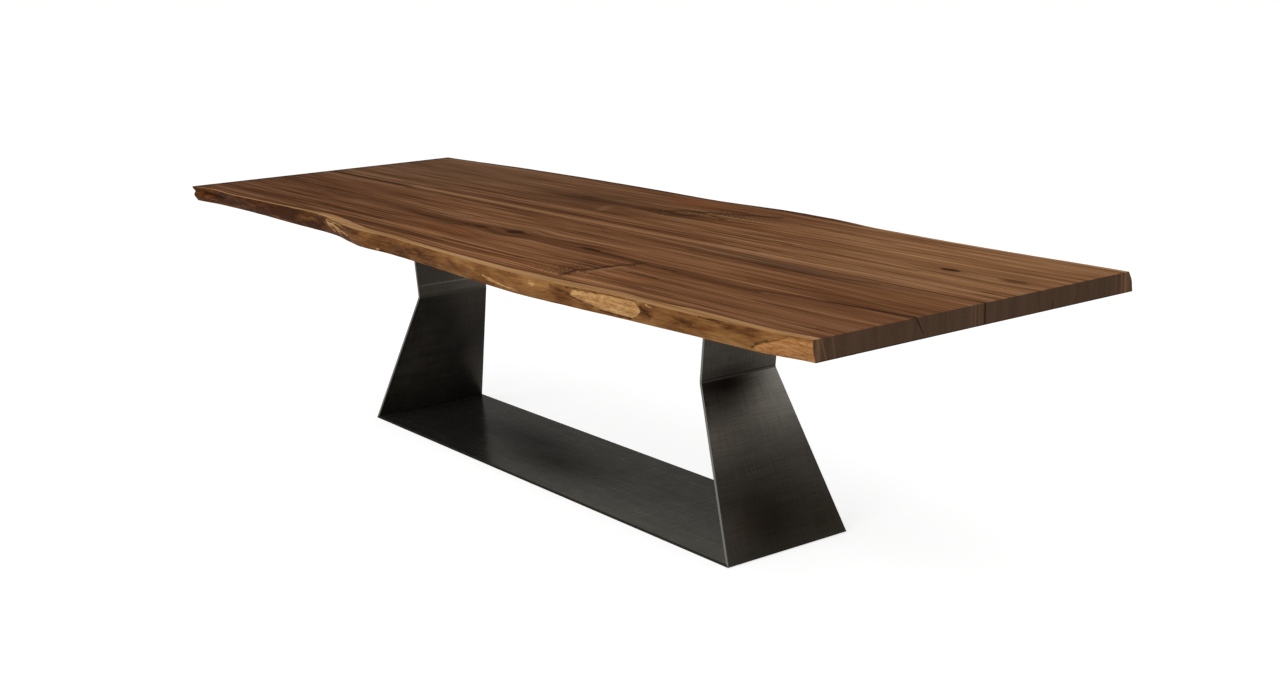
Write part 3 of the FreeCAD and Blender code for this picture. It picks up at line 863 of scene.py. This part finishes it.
front_dark = [
    ((-1.485, 0.731), (-1.35, 0.726), 0.0036, 0.006, 1.0),
    ((-1.33, 0.712), (-1.29, 0.71), 0.003, 0.002, 0.8),
    ((-1.1, 0.741), (-0.66, 0.738), 0.0045, 0.001, 0.5),
    ((-0.56, 0.7405), (-0.46, 0.737), 0.003, 0.007, 0.9),
    ((-0.54, 0.729), (-0.43, 0.716), 0.002, 0.003, 0.7),
    ((-0.68, 0.738), (-0.615, 0.722), 0.007, 0.003, 0.8),
    ((0.69, 0.741), (0.76, 0.731), 0.007, 0.0015, 0.6),
    ((0.745, 0.744), (0.785, 0.746), 0.003, 0.002, 0.8),
    # painted shade: the dark line under the ledge at the foot of the large scraped flat
    ((0.77, 0.727), (0.88, 0.7085), 0.003, 0.0022, 0.8),
    ((0.88, 0.7085), (0.985, 0.704), 0.0034, 0.0022, 0.9),
    # painted shade: the dark line under the arris above the large scraped flat
    ((0.785, 0.746), (0.9, 0.747), 0.0015, 0.0008, 0.8),
    ((0.9, 0.747), (0.998, 0.7475), 0.0015, 0.0008, 0.8),
    ((1.02, 0.737), (1.05, 0.722), 0.01, 0.0014, 0.7),
    ((1.05, 0.722), (1.066, 0.726), 0.006, 0.001, 0.6),
    ((1.133, 0.731), (1.19, 0.727), 0.006, 0.001, 0.55),
    ((1.215, 0.7465), (1.285, 0.745), 0.0022, 0.0012, 0.8),
    ((1.382, 0.708), (1.398, 0.718), 0.005, 0.0008, 0.75),
    ((1.398, 0.718), (1.432, 0.728), 0.0042, 0.0006, 0.8),
    ((1.432, 0.728), (1.478, 0.743), 0.0036, 0.0006, 0.65),
    ((1.5, 0.723), (1.56, 0.711), 0.0024, 0.001, 0.6),
]
print("front edge: flats", len(front_flats), "strokes", len(front_pale) + len(front_dark))

# %% [markdown]
# The rear edge is worked in the same way, with three scraped flats and fewer strokes.

# %% Rear edge features
rear_flats = [
    (0.0055, [(-1.2, 0.735), (-1.14, 0.741), (-1.06, 0.742), (-1.0, 0.738), (-1.03, 0.729), (-1.09, 0.722),
              (-1.16, 0.726)]),
    (0.0026, [(-0.22, 0.726), (-0.18, 0.737), (-0.06, 0.743), (0.06, 0.739), (0.09, 0.726), (0.01, 0.713),
              (-0.14, 0.712)]),
    (0.004, [(0.905, 0.712), (0.96, 0.728), (1.06, 0.736), (1.12, 0.727), (1.09, 0.711), (1.0, 0.704)]),
]
rear_pale = [
    ((-0.7, 0.743), (-0.6, 0.737), 0.003, 1.0),
    ((-0.64, 0.724), (-0.56, 0.714), 0.0026, 1.0),
    ((0.42, 0.738), (0.52, 0.728), 0.0026, 1.0),
    ((0.46, 0.722), (0.59, 0.713), 0.0022, 1.0),
    ((1.33, 0.736), (1.43, 0.728), 0.0028, 1.0),
]
rear_dark = [
    ((-1.34, 0.74), (-1.19, 0.733), 0.005, 0.002, 0.7),
    ((-0.98, 0.736), (-0.91, 0.722), 0.006, 0.0018, 0.8),
    ((-0.23, 0.73), (-0.31, 0.716), 0.007, 0.0016, 0.8),
    ((-0.15, 0.7095), (0.03, 0.7095), 0.003, 0.0018, 0.8),
    ((0.08, 0.738), (0.16, 0.743), 0.0045, 0.0014, 0.7),
    ((0.6, 0.728), (0.76, 0.724), 0.005, 0.0014, 0.6),
    ((0.875, 0.712), (0.905, 0.73), 0.0065, 0.0014, 0.8),
    ((1.13, 0.731), (1.22, 0.722), 0.006, 0.0014, 0.7),
    ((1.46, 0.738), (1.53, 0.73), 0.004, 0.003, 0.8),
]
print("rear edge: flats", len(rear_flats), "strokes", len(rear_pale) + len(rear_dark))

# %% [markdown]
# Now the lists become a surface. At any place on an edge, one function tells how deep it is cut, and how
# pale and how dark it is. Noise gives the slow swells and the fibres, the flats sink a little, pale fibres
# stand proud and dark strokes are grooves. The same function shapes the mesh and writes the masks for the
# finish, so that colour and relief always agree.

# %% Edge surface
swells = ((5, 1.3, 0.3, 0.0022), (19, 2.6, 7.7, 0.0012), (75, 9.0, 3.1, 0.0004))
scrape_depth = 0.0012
ridge_height = 0.0012
shelf_depth = 0.007
nose_height = 0.002
shelf_start = -1.22
shelf_full = -1.5


def stroke_at(place, start, finish, half_width):
    """How strongly a place lies on a stroke."""
    return math.exp(-(off_stroke(place, Vector(start), Vector(finish)) / half_width) ** 2)


def worked_edge(x, z, seed, flats, pale_strokes, dark_strokes):
    """How deep an edge is cut at a place, and how pale and how dark it is there."""
    shake_along = noise.noise((x * 40, z * 90, 1.7 + seed)) * 0.006
    shake_up = noise.noise((x * 60, z * 120, 4.1 + seed)) * 0.002
    shaken = Vector((x + shake_along, z + shake_up))
    share = (top_height - z) / thickness
    cut = 0.0
    for along, down, start, depth in swells:
        cut += noise.noise((x * along, share * down, start + seed)) * depth
    pale = 0.0
    dark = 0.0
    for softness, outline in flats:
        scraped_here = soft_step(inside_by(shaken, outline), -softness, softness)
        cut += scraped_here * scrape_depth
        pale = max(pale, scraped_here)
    for *stroke, strength in pale_strokes:
        ridge = stroke_at(shaken, *stroke)
        cut -= ridge * ridge_height
        pale = max(pale, ridge * strength)
    for *stroke, depth, darkness in dark_strokes:
        groove = stroke_at(shaken, *stroke)
        cut += groove * depth
        dark = max(dark, groove * darkness)
    return cut, pale, dark


def bump_at(share, middle):
    """A smooth rise round one height on the edge."""
    return math.exp(-((share - middle) / 0.14) ** 2)


def front_edge(x, z):
    """The front edge, with a deep lip near its left-hand end."""
    cut, pale, dark = worked_edge(x, z, 0.0, front_flats, front_pale, front_dark)
    share = (top_height - z) / thickness
    lip = shelf_depth * bump_at(share, 0.33) - nose_height * bump_at(share, 0.64)
    return cut + soft_step(x, shelf_start, shelf_full) * lip, pale, dark


def rear_edge(x, z):
    """The rear edge, worked in the same way."""
    return worked_edge(x, z, 12.0, rear_flats, rear_pale, rear_dark)


middle_height = (top_height + underside) / 2
print("middle of the front edge:", [round(value, 4) for value in front_edge(0.0, middle_height)])

# %% [markdown]
# The drying check is the crack that opened at the right-hand sawn end as the front plank dried. It is a thin
# wedge that wanders a little, narrows towards its tip and leans as it goes down. Two much smaller checks
# show at the lower edge of that end. All are cut with a Boolean, together with the pockets for
# the steel stiffeners, which the CAD boxes give.

# %% Cutters
check_overrun = Vector((0.006, 0, 0))
pocket_side_room = 0.0005
pocket_end_room = 0.006
stiffeners = ("left_stiffener", "middle_stiffener", "right_stiffener")


def check_wedge(cutter, mouth, length, width, drift, sink, closing=0.3):
    """Adds the air of one drying check to a cutter: mouth at the sawn end, sinking along sink."""
    tip = mouth - Vector((length, drift, 0))
    half_gap = Vector((0, width / 2, 0))
    near, far = mouth - half_gap, mouth + half_gap
    corners = [tip, near, near + check_overrun, far + check_overrun, far]
    face = cutter.faces.new([cutter.verts.new(corner) for corner in corners])
    lifted = bmesh.ops.extrude_face_region(cutter, geom=[face])["geom"]
    low = [item for item in lifted if isinstance(item, bmesh.types.BMVert)]
    for vert in low:
        middle = mouth.y - drift * (mouth.x - vert.co.x) / length
        vert.co.y = middle + (vert.co.y - middle) * closing
    bmesh.ops.translate(cutter, verts=low, vec=sink)
    wall = set(low) | set(face.verts)
    for side in cutter.faces:
        if set(side.verts) <= wall:
            side.material_index = 2
    return wall


def pockets(cutter):
    """Adds the routed pockets of the stiffeners to a cutter."""
    for node in stiffeners:
        low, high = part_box(node)
        low = low - Vector((pocket_side_room, pocket_end_room, 0.01))
        high = high + Vector((pocket_side_room, pocket_end_room, 0))
        size = high - low
        block = Matrix.Translation((low + high) / 2) @ Matrix.Diagonal(size).to_4x4()
        bmesh.ops.create_cube(cutter, size=1.0, matrix=block)


def cut_away(plank, build):
    """Cuts the solids that build() adds out of a plank, and keeps the plain mesh that is left."""
    cutter_mesh = bmesh.new()
    build(cutter_mesh)
    bmesh.ops.recalc_face_normals(cutter_mesh, faces=cutter_mesh.faces)
    cutter = bpy.data.objects.new("cutter", bpy.data.meshes.new("cutter"))
    cutter_mesh.to_mesh(cutter.data)
    cutter_mesh.free()
    for finish in plank.data.materials:
        cutter.data.materials.append(finish)
    scene.collection.objects.link(cutter)
    saw = plank.modifiers.new("saw", "BOOLEAN")
    saw.object = cutter
    saw.operation = "DIFFERENCE"
    saw.solver = "EXACT"
    evaluated = plank.evaluated_get(bpy.context.evaluated_depsgraph_get())
    left_over = bpy.data.meshes.new_from_object(evaluated)
    plank.modifiers.clear()
    plank.data = left_over
    bpy.data.objects.remove(cutter)


print("cutters ready, pockets:", len(stiffeners))

# %% Cuts in each plank
def front_cuts(cutter):
    """The large check of the front plank with its torn walls, and a small one below it."""
    pockets(cutter)
    mouth = Vector((half_length, -0.208, top_height + 0.002))
    wall = check_wedge(cutter, mouth, 0.15, 0.0046, 0.01, Vector((0, 0.023, -0.041)), 0.45)
    long_edges = [edge for edge in cutter.edges if set(edge.verts) <= wall and edge.calc_length() > 0.02]
    cut = bmesh.ops.subdivide_edges(cutter, edges=long_edges, cuts=7, use_grid_fill=True)
    for vert in [item for item in cut["geom"] if isinstance(item, bmesh.types.BMVert)]:
        vert.co.y += noise.noise((vert.co.x * 38, vert.co.z * 60, 5.0)) * 0.0016
    mouth = Vector((half_length, -0.212, underside + 0.005))
    check_wedge(cutter, mouth, 0.02, 0.0024, 0.0, Vector((0, -0.002, -0.01)))


def rear_cuts(cutter):
    """One small check near the lower arris of the rear plank."""
    pockets(cutter)
    mouth = Vector((half_length, 0.23, underside + 0.018))
    check_wedge(cutter, mouth, 0.03, 0.003, 0.0, Vector((0, 0.001, -0.02)), 0.9)


print("cuts ready, right-hand end at", round(half_length, 4))

# %% [markdown]
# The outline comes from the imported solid, so that the two agree in size: at each place, a ray cast from the
# side finds it. The borders of the sheet are extruded to the seam in rows that grow wider on the way, which
# keeps the faces near the live edge small and the rest simple.

# %% Plank faces
edge_zone = 0.03
level_enough = 0.9995


def outline_of(node, side):
    """A function that tells how far a CAD plank reaches sideways at a place (x, z)."""
    probe = bmesh.new()
    probe.from_mesh(cad[node].data)
    outline = BVHTree.FromBMesh(probe)
    probe.free()

    def reach(x, z):
        x = min(max(x, hair - half_length), half_length - hair)
        z = min(max(z, underside + hair), top_height - hair)
        return outline.ray_cast(Vector((x, side * far_side, z)), Vector((0, -side, 0)))[0].y

    return reach


def level_rim(work, level):
    """The border edges of the sheet at one height."""
    return [edge for edge in work.edges
            if edge.is_boundary and all(abs(vert.co.z - level) < hair for vert in edge.verts)]


def grow_face(work, rim):
    """Extrudes a border of the sheet to the seam in rows, and gives the edges at the seam."""
    start = {round(vert.co.x, 5): vert.co.y for edge in rim for vert in edge.verts}
    for share in face_rows:
        grown = bmesh.ops.extrude_edge_only(work, edges=rim)["geom"]
        fresh = {item for item in grown if isinstance(item, bmesh.types.BMVert)}
        for vert in fresh:
            y = start[round(vert.co.x, 5)]
            vert.co.y = y + (seam - y) * share
        rim = [item for item in grown if isinstance(item, bmesh.types.BMEdge) and set(item.verts) <= fresh]
    return rim


def mark_wood(mesh, reach, surface, band):
    """Stores the sapwood border and the pale and dark places as attributes, and keeps level faces flat."""
    masks = {"sapwood_line": [], "pale_wood": [], "dark_wood": []}
    arris_line = [(x / 100, reach(x / 100, top_height)) for x in range(-160, 161)]
    for vert in mesh.vertices:
        x, y, z = vert.co
        inside = abs(between(arris_line, x)) - abs(y)
        _, pale, dark = surface(x, z) if inside < edge_zone else (0.0, 0.0, 0.0)
        masks["sapwood_line"].append(inside - between(band, x))
        masks["pale_wood"].append(pale)
        masks["dark_wood"].append(dark)
    for label, values in masks.items():
        mesh.attributes.new(label, "FLOAT", "POINT").data.foreach_set("value", values)
    smooth = [max(abs(axis) for axis in face.normal) <= level_enough for face in mesh.polygons]
    mesh.polygons.foreach_set("use_smooth", smooth)


print("rows of a face:", len(face_rows))

# %% Plank builder
def plank(name, node, side, surface, cuts, band, finish):
    """Models one plank round the outline of its CAD node."""
    reach = outline_of(node, side)
    work = bmesh.new()
    columns = round(2 * half_length / edge_step)
    bmesh.ops.create_grid(work, x_segments=columns, y_segments=edge_rows, size=0.5)
    for vert in work.verts:
        x = vert.co.x * 2 * half_length
        z = top_height - (0.5 - vert.co.y) * thickness
        vert.co = (x, reach(x, z) - side * surface(x, z)[0], z)
    edge_faces = set(work.faces)

    rims = [level_rim(work, level) for level in (top_height, underside)]
    seam_rims = [edge for rim in rims for edge in grow_face(work, rim)]
    bmesh.ops.bridge_loops(work, edges=seam_rims)
    ends = [edge for edge in work.edges if edge.is_boundary]
    bmesh.ops.holes_fill(work, edges=ends, sides=0)
    for face in edge_faces:
        face.material_index = 1
    bmesh.ops.recalc_face_normals(work, faces=work.faces)
    arrises = {edge for rim in rims for edge in rim}
    eased = arrises | set(seam_rims) | set(ends)
    bmesh.ops.bevel(work, geom=list(eased), offset=arris_ease, offset_type="OFFSET", segments=2, profile=0.5,
                    affect="EDGES", clamp_overlap=True, material=-1)

    piece = bpy.data.objects.new(name, bpy.data.meshes.new(name))
    work.to_mesh(piece.data)
    work.free()
    scene.collection.objects.link(piece)
    for paint in (finish, edge_finish, check_shade_finish):
        piece.data.materials.append(paint)
    cut_away(piece, cuts)
    mesh = piece.data
    mesh.name = name
    mark_wood(mesh, reach, surface, band)
    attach(piece, "root")
    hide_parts(node)
    mesh.calc_loop_triangles()
    print(name, "faces", len(mesh.polygons), "triangles", len(mesh.loop_triangles))


print("plank builder ready, columns of a sheet:", round(2 * half_length / edge_step))

# %% [markdown]
# On the top, the sapwood shows as a pale band along each live edge. Its width is a short table of (along,
# width). It is widest where the log was scraped deepest, and runs out towards the left of the rear edge.

# %% Front and rear plank
front_band = [(-1.55, 0.004), (-1.35, 0.008), (-0.9, 0.01), (-0.75, 0.016), (-0.6, 0.034), (-0.48, 0.042),
              (-0.38, 0.038), (-0.24, 0.027), (-0.04, 0.02), (0.12, 0.023), (0.47, 0.028), (0.58, 0.037),
              (0.9, 0.033), (1.0, 0.027), (1.17, 0.036), (1.3, 0.028), (1.45, 0.019), (1.55, 0.02)]
rear_band = [(-1.55, 0.0), (0.3, 0.002), (0.45, 0.008), (0.8, 0.012), (1.2, 0.014), (1.55, 0.016)]
plank("front_plank_top", "front_plank", -1, front_edge, front_cuts, front_band, front_walnut)
plank("rear_plank_top", "rear_plank", 1, rear_edge, rear_cuts, rear_band, rear_walnut)

# %% [markdown]
# ## Iron
# The base is hot-rolled plate, bent on a press brake, welded, blackened and waxed. Brushing before the
# blackening left fine scratches both along and across the sheet, which look like linen. It is a metal with
# a very dark colour, so what shows is mostly a dim, blurred reflection. The cut flanks were dressed last
# and stay a lighter grey.

# %% Iron finish
iron_black = colour(0.03, 0.0262, 0.0218)
iron_grey = colour(0.066, 0.0585, 0.0495)
flank_grey = colour(0.17, 0.162, 0.15)
sole_grey = colour(0.032, 0.0285, 0.0245)
bend_height = 0.431
bend_reach = 0.0036
bend_fade = 0.002

linen, bench, come, go = new_group(
    "linen_brushing",
    [("Lengthwise", "Float"), ("Crosswise", "Float")],
    [("Threads", "Float"), ("Clouds", "Float")],
)
sheet = (come["Lengthwise"], come["Crosswise"], 0.0)
weft = bench.stretched(sheet, (12.0, 380.0, 1.0), 2.0, 0.6)
warp = bench.stretched(sheet, (380.0, 12.0, 1.0), 2.0, 0.6)
bench.feed(go["Threads"], bench.times(bench.plus(weft, warp), 0.5))
streaks = bench.stretched(sheet, (3.0, 40.0, 1.0), 2.0, 0.5)
clouds = bench.stretched(sheet, (6.0, 6.0, 1.0), 3.0, 0.5)
bench.feed(go["Clouds"], bench.times(bench.plus(streaks, clouds), 0.5))


def iron(name, lies_flat, cloudy, dull, wax, flank, rim_shine, patina_and_light_patches, neck_patina_and_light_patches=()):
    """Blackened plate, lying flat or standing, with lighter or darker patches in its own plane: patina and
    painted light.
    """
    material, bench, shader, place = new_finish(name)
    along, across, height = bench.parts(place.outputs["Object"])
    lengthwise, crosswise = (along, across) if lies_flat else (across, height)
    spot = bench.vector(lengthwise, crosswise, 0.0)
    brushed = bench.use(linen, {"Lengthwise": lengthwise, "Crosswise": crosswise})
    tone = bench.shaken(brushed["Threads"], brushed["Clouds"], cloudy)
    metal = bench.ramp(tone, [(0.3, iron_black), (0.7, iron_grey)])
    above_bend = bench.ease(height, bend_height - bend_reach, bend_height - bend_reach + bend_fade)
    below_bend = bench.minus(1.0, above_bend)
    # patina and painted light: each patch tints the plate lighter or darker
    for group, where in ((patina_and_light_patches, below_bend), (neck_patina_and_light_patches, above_bend)):
        for *patch, shade in group:
            metal = bench.tinted(bench.times(soft_patch(bench, spot, *patch), where), metal, shade)
    sideways = bench.sum("ABSOLUTE", bench.parts(place.outputs["Normal"])[1])
    bench.fill(shader, {
        "Base Color": bench.blend(bench.ease(sideways, 0.35, 0.8), metal, flank),
        "Metallic": 0.8,
        "Roughness": bench.ease(tone, 0.3, 0.7, dull - 0.07, dull + 0.07),
        "Specular IOR Level": wax,
        "Specular Tint": rim_shine,
        "Normal": bench.relief(brushed["Threads"], 0.03 if lies_flat else 0.12, 0.0003),
    })
    return material


print("iron ready, bend at", bend_height)

# %% [markdown]
# Each plate has its own clouds, which blackening never leaves even. The patches are partly such patina and
# partly painted light: lighter where a plate mirrors the lamps and the white floor, darker near the foot,
# near the bend and where a plate mirrors the shade under the top. A patch is (middle, half length, half
# width, tint) in the plate's own plane. The neck above the bend has patches of its own, so that the bend
# stays a crisp line.

# %% Iron plates
leg_plate = {"lies_flat": False, "cloudy": 0.5, "dull": 0.35, "wax": 0.1, "flank": flank_grey,
             "rim_shine": colour(0.5, 0.48, 0.46)}
floor_sheet = {"lies_flat": True, "cloudy": 0.35, "dull": 0.22, "wax": 0.0, "flank": sole_grey,
               "rim_shine": grey(0.4)}
right_iron = iron(
    "blackened_iron_right", **leg_plate,
    patina_and_light_patches=[
        ((0.16, 0.4), 0.11, 0.11, colour(3.1, 3.28, 3.38)),
        ((0.13, 0.435), 0.08, 0.045, colour(2.1, 2.15, 2.2)),
        ((0.02, 0.32), 0.2, 0.07, grey(1.5)),
        ((0.025, 0.365), 0.07, 0.05, grey(1.45)),
        ((-0.17, 0.29), 0.09, 0.06, colour(1.9, 1.9, 1.85)),
        ((-0.05, 0.416), 0.095, 0.046, colour(0.17, 0.16, 0.14)),
        ((-0.06, 0.08), 0.22, 0.13, colour(0.22, 0.19, 0.15)),
        ((-0.15, 0.075), 0.085, 0.05, colour(1.9, 1.9, 1.95)),
        ((0.17, 0.04), 0.11, 0.08, colour(0.66, 0.62, 0.54)),
    ],
    neck_patina_and_light_patches=[
        ((-0.03, 0.44), 0.12, 0.03, colour(0.4, 0.4, 0.38)),
        ((0.125, 0.45), 0.065, 0.05, grey(1.7)),
        ((0.0, 0.435), 0.3, 0.0016, colour(0.18, 0.18, 0.17)),
    ],
)
left_iron = iron(
    "blackened_iron_left", **leg_plate,
    patina_and_light_patches=[
        ((0.13, 0.25), 0.09, 0.2, grey(0.45)),
        ((-0.06, 0.15), 0.15, 0.18, grey(2.2)),
        ((0.01, 0.32), 0.075, 0.11, grey(0.34)),
        ((0.07, 0.225), 0.05, 0.07, grey(0.48)),
        ((-0.13, 0.22), 0.08, 0.09, grey(1.5)),
        ((-0.06, 0.4), 0.07, 0.045, grey(0.55)),
    ],
    neck_patina_and_light_patches=[
        ((0.12, 0.47), 0.1, 0.15, colour(1.6, 1.6, 1.65)),
        ((0.0, 0.4665), 0.3, 0.0018, grey(2.1)),
        ((0.0, 0.432), 0.3, 0.0045, grey(0.55)),
    ],
)
floor_iron = iron(
    "blackened_iron_floor", **floor_sheet,
    patina_and_light_patches=[
        ((0.0, 0.0), 9.0, 9.0, colour(1.62, 1.78, 1.9)),
        ((0.5, -0.23), 0.9, 0.155, colour(1.55, 1.52, 1.48)),
        ((-0.75, 0.0), 0.35, 0.3, grey(0.9)),
        ((-0.34, 0.035), 0.26, 0.085, grey(0.5)),
        ((-0.07, -0.05), 0.22, 0.09, grey(0.52)),
    ],
)
print("plates:", right_iron.name, left_iron.name, floor_iron.name)

# %% [markdown]
# ## Hidden pieces
# Mount plates, stiffeners, screws, bolts, washers, inserts, loose tenons and felt pads sit under or inside
# the top. Their solids already have the right shape, so each gets a finish that would be seen from
# below: dull black paint with a dusty grain, zinc with the cloudy crystals of plating, pale beech and felt.

# %% Hidden finishes
black_paint = mottled("black_paint", colour(0.018, 0.018, 0.019), colour(0.032, 0.032, 0.033),
                      (900.0, 900.0, 900.0), 0.0, 0.5, 0.0002)
zinc = mottled("zinc_plating", colour(0.42, 0.42, 0.41), colour(0.62, 0.62, 0.6),
               (260.0, 260.0, 260.0), 1.0, 0.35, 0.0001)
felt = mottled("grey_felt", colour(0.035, 0.033, 0.03), colour(0.085, 0.08, 0.074),
               (1400.0, 1400.0, 500.0), 0.0, 0.9, 0.0008)
beech = mottled("beech", colour(0.42, 0.26, 0.14), colour(0.56, 0.38, 0.23),
                (300.0, 12.0, 300.0), 0.0, 0.6, 0.0003)

finishes = {
    "floor_plate": floor_iron, "middle_stiffener": black_paint, "stiffener_screws": zinc,
    "seam_tenons": beech, "floor_pads": felt,
}
for side, plate in (("left", left_iron), ("right", right_iron)):
    for finish, kinds in (
        (plate, ("leg", "foot_weld", "head_welds")),
        (black_paint, ("mount_plate", "stiffener")),
        (zinc, ("mount_bolts", "mount_washers", "threaded_inserts")),
    ):
        for kind in kinds:
            finishes[side + "_" + kind] = finish
for node, finish in finishes.items():
    cad[node].data.materials.clear()
    cad[node].data.materials.append(finish)
print("finished nodes:", len(finishes))
